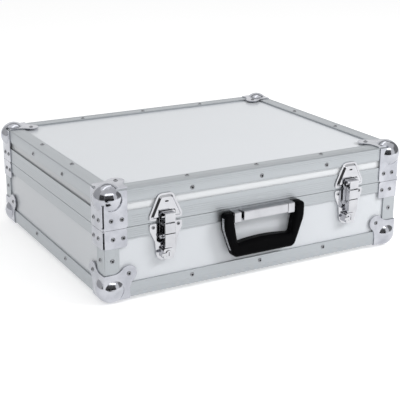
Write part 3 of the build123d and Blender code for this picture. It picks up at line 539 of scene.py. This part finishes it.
def addLength(mesh, points, wall, cornerHeight):
    # one mitred length, drawn along +x, then set against its wall
    half = wallHalves[wall]
    made = prism([(-half, point.x * mm, point.y * mm) for point in points], (2 * half, 0, 0))
    cuts = []
    for side in (-1, 1):
        cuts.append(((side * (half - rails["mitreGap"] * mm), 0, 0), (side, 0, -1), 0))
        if cornerHeight is None:
            normal = Vector((side, 0, 1)).normalized()
            cuts.append((Vector((side * half, 0, 0)) - normal * rails["arrisCut"] * mm, normal, 1))
        else:
            lean = -1 if cornerHeight == 0 else 1
            normal = Vector((side, lean, 1)).normalized()
            inset = normal * (rails["cornerCut"] * mm / math.sqrt(3))
            cuts.append((Vector((side * half, cornerHeight * mm, 0)) - inset, normal, 1))
    # the mitre faces keep the first slot; the faces of the corner and arris cuts take the second, black
    # painted shade
    for spot, normal, finish in cuts:
        geometry = made.verts[:] + made.edges[:] + made.faces[:]
        cut = bmesh.ops.bisect_plane(made, geom=geometry, plane_co=spot, plane_no=normal,
                                     dist=rails["cutPrecision"] * mm, clear_outer=True)
        rim = [item for item in cut["geom_cut"] if isinstance(item, bmesh.types.BMEdge)]
        bmesh.ops.contextual_create(made, geom=rim, mat_nr=finish)
    bmesh.ops.recalc_face_normals(made, faces=made.faces)
    addGrain(made, lambda spot: (spot.x, spot.y - spot.z))
    made.transform(wallFrame(wall))
    appendMesh(mesh, made)


def buildRails():
    height = case["height"]
    baseAngle = anglePoints(0, rails["baseRise"], rails["baseGrooves"])
    lidAngle = anglePoints(height, -rails["lidDrop"], rails["lidGrooves"])
    kinds = (
        # CAD node, piece, body, profile, height of the corners that the balls cover
        ("base_edge_angles", "baseEdgeAngles", "body", baseAngle, 0),
        ("lid_edge_angles", "lidEdgeAngles", "lid", lidAngle, height),
        ("body_closure_rails", "bodyClosureRails", "body", railPoints(bodyRail), None),
        ("lid_closure_rails", "lidClosureRails", "lid", railPoints(lidRail), None),
    )
    for node, name, body, points, cornerHeight in kinds:
        mesh = bmesh.new()
        for wall in wallHalves:
            addLength(mesh, points, wall, cornerHeight)
        piece = pieceFrom(mesh, name, body, "aluminium", [node])
        # second slot: black painted shade on the cut faces
        piece.data.materials.append(finishes["eye"])
        easeEdges(piece, rails["ease"] * mm, 1, rails["easeAngle"])


posts = {
    "leg": 22.0,
    "low": 21.2,
    "cut": 72.5,               # the arris is cut away from here up, behind the slits
    "high": 81.8,
    "relief": 3.1,
    "grooves": (4.0, 6.6, 16.4, 19.0),
    # the post faces behind the slit, above the cut, are painted black as the slit's shade
    "diagonal": 0.1,           # a face whose middle is this near the diagonal lies behind the slit
}


def postPoints(reach, steps):
    # an L from one free edge to the other, its outer corner rounded or, with one step, cut flat
    leg, thick = posts["leg"], rails["thickness"]
    points = grooved((leg, 0), (reach, 0), (0, 1), [leg - place for place in posts["grooves"]])
    for step in range(1, steps):
        angle = math.pi / 2 * step / steps
        points.append(Vector((reach * (1 - math.sin(angle)), reach * (1 - math.cos(angle)))))
    points += grooved((0, reach), (0, leg), (1, 0), [place - reach for place in posts["grooves"]])
    return points + [Vector((thick, leg)), Vector((thick, thick)), Vector((leg, thick))]


def addPost(mesh, points, low, high, signX, signY):
    outline = [(point.x * mm, point.y * mm, low * mm) for point in points]
    made = prism(outline, (0, 0, (high - low) * mm))
    for face in made.faces:
        middle = face.calc_center_median()
        central = abs(middle.x - middle.y) < posts["diagonal"] * mm
        # faces behind the slit are painted black, as painted shade
        face.material_index = 1 if low == posts["cut"] and central else 0
    addGrain(made, lambda spot: (spot.z, spot.x - spot.y))
    wallY = case["frontY"] if signY < 0 else case["backY"]
    bmesh.ops.scale(made, vec=(-signX, -signY, 1), verts=made.verts)
    bmesh.ops.translate(made, verts=made.verts, vec=(signX * case["halfWidth"], wallY, case["baseZ"]))
    bmesh.ops.recalc_face_normals(made, faces=made.faces)
    appendMesh(mesh, made)


def buildPosts():
    mesh = bmesh.new()
    rounded = postPoints(rails["arris"], rails["arrisSteps"])
    relieved = postPoints(posts["relief"], 1)
    for signX in (-1, 1):
        for signY in (-1, 1):
            addPost(mesh, rounded, posts["low"], posts["cut"], signX, signY)
            addPost(mesh, relieved, posts["cut"], posts["high"], signX, signY)
    piece = pieceFrom(mesh, "cornerPosts", "body", "aluminium", ["corner_posts"])
    # second slot: black painted shade behind the slits
    piece.data.materials.append(finishes["eye"])
    easeEdges(piece, rails["ease"] * mm, 1, rails["easeAngle"])


buildRails()
buildPosts()
print("extrusions made")

# blind rivets, one on each CAD rivet
rivetLook = {
    "headHeight": 1.2,
    "turns": 20,
    "seamGap": 0.001,
    "rim": 0.55,               # height of the rim, as a share of the head's
    "rimEase": 0.5,            # where the rim starts to round over, as a share of the rim
    "shoulder": 0.90,          # radius at the top of the rim, as a share of the head's
    "slope": (0.68, 0.92),     # radius and height on the dome, as shares of the head's
    "eye": 0.46,               # radius of the mandrel's hole, as a share of the head's
    "eyeDepth": 0.95,
    "eyeLip": 1.35,            # radius of the dome's top, as a share of the hole's
    "eyeEdge": 0.95,           # height of the hole's edge, as a share of the head's
    "eyeTaper": 0.9,           # radius at the hole's floor, as a share of the hole's
    "eyeCrown": 1.15,          # height of the floor's middle, as a share of the floor's
}


def rivetSpots(node):
    # (middle of the head's underside, outward direction, head radius) of each rivet in a CAD node
    mesh = bmesh.new()
    mesh.from_mesh(nodes[node].data)
    bmesh.ops.remove_doubles(mesh, verts=mesh.verts, dist=joinGap)
    spots = []
    left = set(mesh.verts)
    centre = Vector((0, middleY, case["baseZ"] + case["height"] * mm / 2))
    while left:
        group = [left.pop()]
        for vert in group:
            for edge in vert.link_edges:
                other = edge.other_vert(vert)
                if other in left:
                    left.remove(other)
                    group.append(other)
        low = Vector([min(vert.co[axis] for vert in group) for axis in range(3)])
        high = Vector([max(vert.co[axis] for vert in group) for axis in range(3)])
        size = high - low
        along = max(range(3), key=lambda axis: size[axis])
        middle = (low + high) / 2
        sign = 1 if middle[along] > centre[along] else -1
        out = Vector((0, 0, 0))
        out[along] = sign
        top = high[along] if sign > 0 else low[along]
        middle[along] = top - sign * rivetLook["headHeight"] * mm
        spots.append((middle, out, size[(along + 1) % 3] / 2))
    mesh.free()
    return sorted(spots, key=lambda spot: tuple(round(value, 5) for value in spot[0]))


def rivetHead(radius):
    # a domed ring with the mandrel's hole sunk in its middle
    look = rivetLook
    height = look["headHeight"] * mm
    eye = radius * look["eye"]
    floor = height - look["eyeDepth"] * mm
    rim = height * look["rim"]
    slopeRadius, slopeHeight = look["slope"]
    profile = (
        (radius, 0),
        (radius, rim * look["rimEase"]),
        (radius * look["shoulder"], rim),
        (radius * slopeRadius, height * slopeHeight),
        (eye * look["eyeLip"], height),
        (eye, height * look["eyeEdge"]),
        (eye * look["eyeTaper"], floor),
        (0, floor * look["eyeCrown"]),
    )
    mesh = bmesh.new()
    verts = [mesh.verts.new((x, 0, z)) for x, z in profile]
    edges = [mesh.edges.new(pair) for pair in zip(verts, verts[1:])]
    bmesh.ops.spin(mesh, geom=verts + edges, cent=(0, 0, 0), axis=(0, 0, 1), angle=math.tau,
                   steps=look["turns"], use_merge=True)
    bmesh.ops.remove_doubles(mesh, verts=mesh.verts, dist=look["seamGap"] * mm)
    for face in mesh.faces:
        face.smooth = True
        # the hole's faces take the second slot, painted near-black as the hole's shade
        face.material_index = 1 if face.calc_center_median().xy.length < eye else 0
    bmesh.ops.recalc_face_normals(mesh, faces=mesh.faces)
    return mesh


def buildRivets():
    for node, name, body in (("lid_rivets", "lidRivets", "lid"), ("body_rivets", "bodyRivets", "body")):
        mesh = bmesh.new()
        for spot, out, radius in rivetSpots(node):
            head = rivetHead(radius)
            turn = Vector((0, 0, 1)).rotation_difference(out).to_matrix().to_4x4()
            head.transform(Matrix.Translation(spot) @ turn)
            appendMesh(mesh, head)
        piece = pieceFrom(mesh, name, body, "rivet", [node])
        # second slot: near-black painted shade in the rivets' holes
        piece.data.materials.append(finishes["eye"])


buildRivets()
print("rivets made")

# pressed and machined fittings, which keep their CAD shape with eased edges
fittings = (
    # CAD node, piece, body, slot, finish, width of the eased edge in mm
    ("foot_corners", "footCorners", "body", "corner_plating", "nickel", 0.5),
    ("lid_corners", "lidCorners", "lid", "corner_plating", "nickel", 0.5),
    ("body_braces", "bodyBraces", "body", "corner_plating", "nickel", 0.5),
    ("latch_keepers", "latchKeepers", "lid", "latch_plating", "chrome", 0.35),
    ("latch_bases", "latchBases", "body", "latch_plating", "chrome", 0.35),
    ("handle_bracket", "handleBracket", "body", "bracket_metal", "bracket", 0.3),
    ("handle_grip", "handleGrip", "handle", "handle_plastic", "plastic", 0.3),
    ("handle_core", "handleCore", "handle", "strap_steel", "steel", 0.2),
    ("body_hinge_leaves", "bodyHingeLeaves", "body", "hinge_plating", "hinge", 0.25),
    ("lid_hinge_leaves", "lidHingeLeaves", "lid", "hinge_plating", "hinge", 0.25),
    ("left_latch_lever", "leftLatchLever", "left_lever", "latch_plating", "chrome", 0.25),
    ("right_latch_lever", "rightLatchLever", "right_lever", "latch_plating", "chrome", 0.25),
    ("left_latch_bail", "leftLatchBail", "left_bail", "latch_plating", "chrome", 0.3),
    ("right_latch_bail", "rightLatchBail", "right_bail", "latch_plating", "chrome", 0.3),
    ("left_lock_barrel", "leftLockBarrel", "left_lock", "lock_metal", "chrome", 0.2),
    ("right_lock_barrel", "rightLockBarrel", "right_lock", "lock_metal", "chrome", 0.2),
)
# where the groove across a lever lies, in mm up the model and back from the lever's face; its faces are
# painted black as painted shade
leverGroove = {"low": 87.6, "high": 91.2, "front": 0.3, "back": 1.1}


def paintGrooveShade(piece):
    # painted shade: the faces in the groove across the lever are painted black
    piece.data.materials.append(finishes["eye"])
    leverFace = min(vert.co.y for vert in piece.data.vertices)
    for face in piece.data.polygons:
        height = face.center.z / mm
        behind = (face.center.y - leverFace) / mm
        level = leverGroove["low"] < height < leverGroove["high"]
        if level and leverGroove["front"] < behind < leverGroove["back"]:
            face.material_index = 1


for node, name, body, slot, finish, ease in fittings:
    fitting = pieceFrom(joinedCopy(node), name, body, finish, [node])
    if node.endswith("_latch_lever"):
        paintGrooveShade(fitting)
    easeEdges(fitting, ease * mm)
print("fittings made")

# the foam in mm, with heights above the underside
foam = {
    "halfWidth": 228.0,
    "halfDepth": 183.0,
    "bottom": 8.3,
    "floor": 44.0,
    "top": 94.0,
    "rim": 18.0,
    "slots": 7,
    "slotWidth": 50.0,
    "slotLength": 190.0,
    "crossWall": 15.0,
    "trayWall": 12.0,
    "overlap": 3.0,            # how far the bars run into each other before they are made one
    "voxel": 3.6,
    "softening": 3,            # rounds of smoothing
    "softness": 0.5,
    "unevenness": 0.5,
    "lumps": 22,               # two sizes of noise, and the share of each
    "lumpShare": 0.7,
    "crumbs": 140,
    "crumbShift": (7, 3, 1),
    "crumbShare": 0.3,
    "lidLow": 100.5,
    "lidHigh": 142.6,
    "crestDepth": 15.0,        # of the convoluted face
    "crestPitch": 36.0,
    "lidStep": 4.0,
    "lidUnevenness": 0.4,
    "lidLumps": 60,
    "fill": 0.9,
}


def caseBox(mesh, x, y, z):
    # a block given in mm about the middle of the case, with heights above the underside
    made = bmesh.ops.create_cube(mesh, size=1)
    size = [(high - low) * mm for low, high in (x, y, z)]
    bmesh.ops.scale(mesh, vec=size, verts=made["verts"])
    middle = [(low + high) / 2 * mm for low, high in (x, y, z)]
    bmesh.ops.translate(mesh, verts=made["verts"], vec=Vector(middle) + Vector((0, middleY, case["baseZ"])))


def remeshed(mesh, size):
    # one closed skin over everything in the mesh, with an even net of faces
    holder = objectFrom(mesh, "blocks")
    skin = holder.modifiers.new("skin", "REMESH")
    skin.mode = "VOXEL"
    skin.voxel_size = size
    ready = holder.evaluated_get(bpy.context.evaluated_depsgraph_get())
    made = bmesh.new()
    made.from_mesh(ready.to_mesh())
    ready.to_mesh_clear()
    data = holder.data
    bpy.data.objects.remove(holder)
    bpy.data.meshes.remove(data)
    return made


def roughenFoam(mesh, step):
    # hand-cut foam is never quite flat
    mesh.normal_update()
    moves = []
    for vert in mesh.verts:
        slow = noise.noise(vert.co * foam["lumps"])
        fast = noise.noise(vert.co * foam["crumbs"] + Vector(foam["crumbShift"]))
        moves.append(vert.normal * (slow * foam["lumpShare"] + fast * foam["crumbShare"]) * step)
    for vert, move in zip(mesh.verts, moves):
        vert.co += move


def foamInsert():
    wide, deep, over = foam["halfWidth"], foam["halfDepth"], foam["overlap"]
    low, floor, top = foam["bottom"], foam["floor"], foam["top"]
    bayWide, bayDeep = wide - foam["rim"], deep - foam["rim"]
    up = (floor - over, top)
    mesh = bmesh.new()
    caseBox(mesh, (-wide, wide), (-deep, deep), (low, floor))
    caseBox(mesh, (-wide, wide), (-deep, -bayDeep), up)
    caseBox(mesh, (-wide, wide), (bayDeep, deep), up)
    caseBox(mesh, (-wide, -bayWide), (-deep, deep), up)
    caseBox(mesh, (bayWide, wide), (-deep, deep), up)
    slotBack = -bayDeep + foam["slotLength"]
    caseBox(mesh, (-bayWide - over, bayWide + over), (slotBack, slotBack + foam["crossWall"]), up)
    gap = (2 * bayWide - foam["slots"] * foam["slotWidth"]) / (foam["slots"] - 1)
    for index in range(1, foam["slots"]):
        left = -bayWide + index * foam["slotWidth"] + (index - 1) * gap
        caseBox(mesh, (left, left + gap), (-bayDeep - over, slotBack + over), up)
    half = foam["trayWall"] / 2
    caseBox(mesh, (-half, half), (slotBack, bayDeep + over), up)
    made = remeshed(mesh, foam["voxel"] * mm)
    for turn in range(foam["softening"]):
        bmesh.ops.smooth_vert(made, verts=made.verts, factor=foam["softness"],
                              use_axis_x=True, use_axis_y=True, use_axis_z=True)
    roughenFoam(made, foam["unevenness"] * mm)
    return made


def foamLidPad():
    # crests and hollows over the whole of the underside, cut straight at the edges
    wide, deep = foam["halfWidth"] * mm, foam["halfDepth"] * mm
    mesh = bmesh.new()
    countX = round(2 * wide / (foam["lidStep"] * mm))
    countY = round(2 * deep / (foam["lidStep"] * mm))
    bmesh.ops.create_grid(mesh, x_segments=countX, y_segments=countY, size=1)
    wave = math.tau / (foam["crestPitch"] * mm)
    low = case["baseZ"] + foam["lidLow"] * mm
    for vert in mesh.verts:
        x, y = vert.co.x * wide, vert.co.y * deep
        crest = 0.5 + 0.5 * math.cos(wave * x) * math.cos(wave * y)
        uneven = foam["lidUnevenness"] * mm * noise.noise(Vector((x, y, 0)) * foam["lidLumps"])
        vert.co = (x, y + middleY, low + foam["crestDepth"] * mm * (1 - crest) + abs(uneven))
    rim = [edge for edge in mesh.edges if edge.is_boundary]
    grown = bmesh.ops.extrude_edge_only(mesh, edges=rim)
    for vert in vertsOf(grown["geom"]):
        vert.co.z = case["baseZ"] + foam["lidHigh"] * mm
    edges = [edge for edge in mesh.edges if edge.is_boundary]
    bmesh.ops.contextual_create(mesh, geom=edges)
    bmesh.ops.recalc_face_normals(mesh, faces=mesh.faces)
    return mesh


pads = (
    # piece, maker, body, the CAD nodes that it stands for
    ("foamInsert", foamInsert, "body",
     ("foam_floor", "foam_rim", "foam_cross_wall", "foam_slot_dividers", "foam_tray_divider")),
    ("foamLidPad", foamLidPad, "lid", ("lid_foam",)),
)
for name, make, body, replaced in pads:
    pad = pieceFrom(make(), name, body, "foam", replaced)
    for face in pad.data.polygons:
        face.use_smooth = len(face.vertices) < 5     # all but a flat back with many corners
    print(name, "made,", len(pad.data.polygons), "faces")

# CAD nodes that are shown as they are
carried = {
    "laminate": ("floor_panel", "front_panel", "back_panel", "left_panel", "right_panel",
                 "lid_top_panel"),
    # the lid's strips take the painted light and painted shade copies of the laminate
    "stripLaminate": ("lid_front_panel", "lid_back_panel"),
    "paintedDimLaminate": ("lid_side_panels",),
    "steel": ("handle_pins", "hinge_pins", "left_lever_pin", "right_lever_pin",
              "left_bail_pin", "right_bail_pin"),
}
for finish, names in carried.items():
    for name in names:
        for slot in nodes[name].material_slots:
            slot.material = finishes[finish]
print("carried nodes painted")

studio = {
    "floorColour": grey(0.86),
    "floorRoughness": 0.9,
    "floorGlow": 0.45,         # only for the rays that see the background
    "floorHalf": 4.0,
    "floorSquares": 8,
    "floorDrop": 0.0002,
    "worldStrength": 0.57,
    "cameraSpot": (-0.7107, -1.2881, 0.5476),
    "cameraYaw": 29.17,
    "cameraPitch": -18.55,
    "cameraRoll": 0.273,
    "cameraLens": 89.877,
    "cameraNear": 0.05,
    "flagColumns": 24,
}
lamps = (
    # lamp, place, aim, size, power, whether metal mirrors it
    ("keyLamp", (1.25, -1.35, 1.25), (0.1, 0, 0.08), (0.7, 0.7), 19, False),
    ("stripLamp", (-0.35, -1.75, 1.6), (0, 0, 0.1), (2.6, 0.28), 9, True),
    ("topLamp", (-0.1, 0.3, 1.8), (0, 0, 0.1), (2.0, 0.25), 2, True),
)
sideWall = ((2.6, 0.0), (2.6, 1.5), (2.1, 2.6))
flags = (
    # flag, profile in (distance, height), start and end of its turn in degrees, shade
    ("darkRoom", ((2.0, 0.0008), (2.45, 0.5)), (-136, -74), 0.004),
    ("darkFloor", ((0.85, 0.0008), (2.0, 0.0008)), (-134, -117), 0.004),
    ("dimRoom", ((2.45, 0.5), (2.3, 1.5)), (-136, -74), 0.10),
    ("darkNear", ((0.42, 0.0008), (0.60, 0.0008)), (-136, -119), 0.004),
    ("darkSide", sideWall, (186, 223), 0.07),
    ("leftWall", sideWall, (112, 186), 0.58),
    ("rightWall", sideWall, (-45, 22), 0.25),
    ("backCeiling", ((2.3, 2.2), (1.6, 2.6)), (20, 112), 0.35),
    ("frontCeiling", ((2.35, 1.55), (1.6, 2.3), (0.5, 2.7)), (-180, 0), 0.78),
)


def buildFloor():
    mesh = bmesh.new()
    squares = studio["floorSquares"]
    bmesh.ops.create_grid(mesh, x_segments=squares, y_segments=squares, size=studio["floorHalf"])
    floor = objectFrom(mesh, "studioFloor")
    made = Finish("floorPaint", Roughness=studio["floorRoughness"], Specular_IOR_Level=0.0)
    camera, glossy, through = made.rays()
    made.shade(Base_Color=studio["floorColour"], Emission_Color=grey(1))
    made.shade(Emission_Strength=studio["floorGlow"] * (camera + glossy + through))
    floor.data.materials.append(made.material)
    floor.location = (0, 0, -studio["floorDrop"])


def buildWorld():
    world = bpy.data.worlds.new("studio")
    bpy.context.scene.world = world
    world.use_nodes = True
    made = NodeTree(world.node_tree)
    background = made.tree.nodes["Background"]
    background.inputs["Color"].default_value = grey(1)
    camera, glossy, through = made.rays()
    seen = made.node("ShaderNodeMath", {"operation": "MAXIMUM"}, {0: camera, 1: glossy})
    seen = made.node("ShaderNodeMath", {"operation": "MAXIMUM"}, {0: seen, 1: through})
    levels = {"Value": seen, "To Min": studio["worldStrength"], "To Max": 1.0}
    made.join(made.node("ShaderNodeMapRange", None, levels), background.inputs["Strength"])


def addLamp(name, spot, aim, size, power, mirrored):
    lamp = bpy.data.lights.new(name, "AREA")
    lamp.shape = "RECTANGLE"
    lamp.size, lamp.size_y = size
    lamp.energy = power
    holder = linked(name, lamp)
    holder.location = spot
    holder.rotation_mode = "QUATERNION"
    holder.rotation_quaternion = (Vector(aim) - Vector(spot)).to_track_quat("-Z", "Y")
    holder.visible_glossy = mirrored


def addFlag(name, profile, turns, shade):
    # a screen spun round the set, seen by reflections only
    mesh = bmesh.new()
    verts = [mesh.verts.new((distance, 0, height)) for distance, height in profile]
    edges = [mesh.edges.new(pair) for pair in zip(verts, verts[1:])]
    mesh.transform(Matrix.Rotation(math.radians(turns[0]), 4, "Z"))
    bmesh.ops.spin(mesh, geom=verts + edges, cent=(0, 0, 0), axis=(0, 0, 1),
                   angle=math.radians(turns[1] - turns[0]), steps=studio["flagColumns"])
    flag = objectFrom(mesh, name)
    made = Finish(name + "Felt", Roughness=1.0, Specular_IOR_Level=0.0)
    made.shade(Base_Color=grey(0.0), Emission_Color=grey(shade), Emission_Strength=1.0)
    flag.data.materials.append(made.material)
    flag.visible_camera = False
    flag.visible_diffuse = False
    flag.visible_shadow = False


def buildCamera():
    yaw, pitch, roll = (math.radians(studio[key]) for key in ("cameraYaw", "cameraPitch", "cameraRoll"))
    forward = Vector((math.sin(yaw) * math.cos(pitch), math.cos(yaw) * math.cos(pitch), math.sin(pitch)))
    level = Vector((math.cos(yaw), -math.sin(yaw), 0))
    right = math.cos(roll) * level + math.sin(roll) * level.cross(forward)
    up = right.cross(forward)
    view = bpy.data.cameras.new("studioCamera")
    view.lens = studio["cameraLens"]
    view.clip_start = studio["cameraNear"]
    holder = linked("studioCamera", view)
    turn = Matrix((right, up, -forward)).transposed().to_4x4()
    holder.matrix_world = Matrix.Translation(studio["cameraSpot"]) @ turn
    bpy.context.scene.camera = holder


buildFloor()
buildWorld()
buildCamera()
for lamp in lamps:
    addLamp(*lamp)
for flag in flags:
    addFlag(*flag)
bpy.context.scene.view_settings.view_transform = "Standard"
print("studio made")
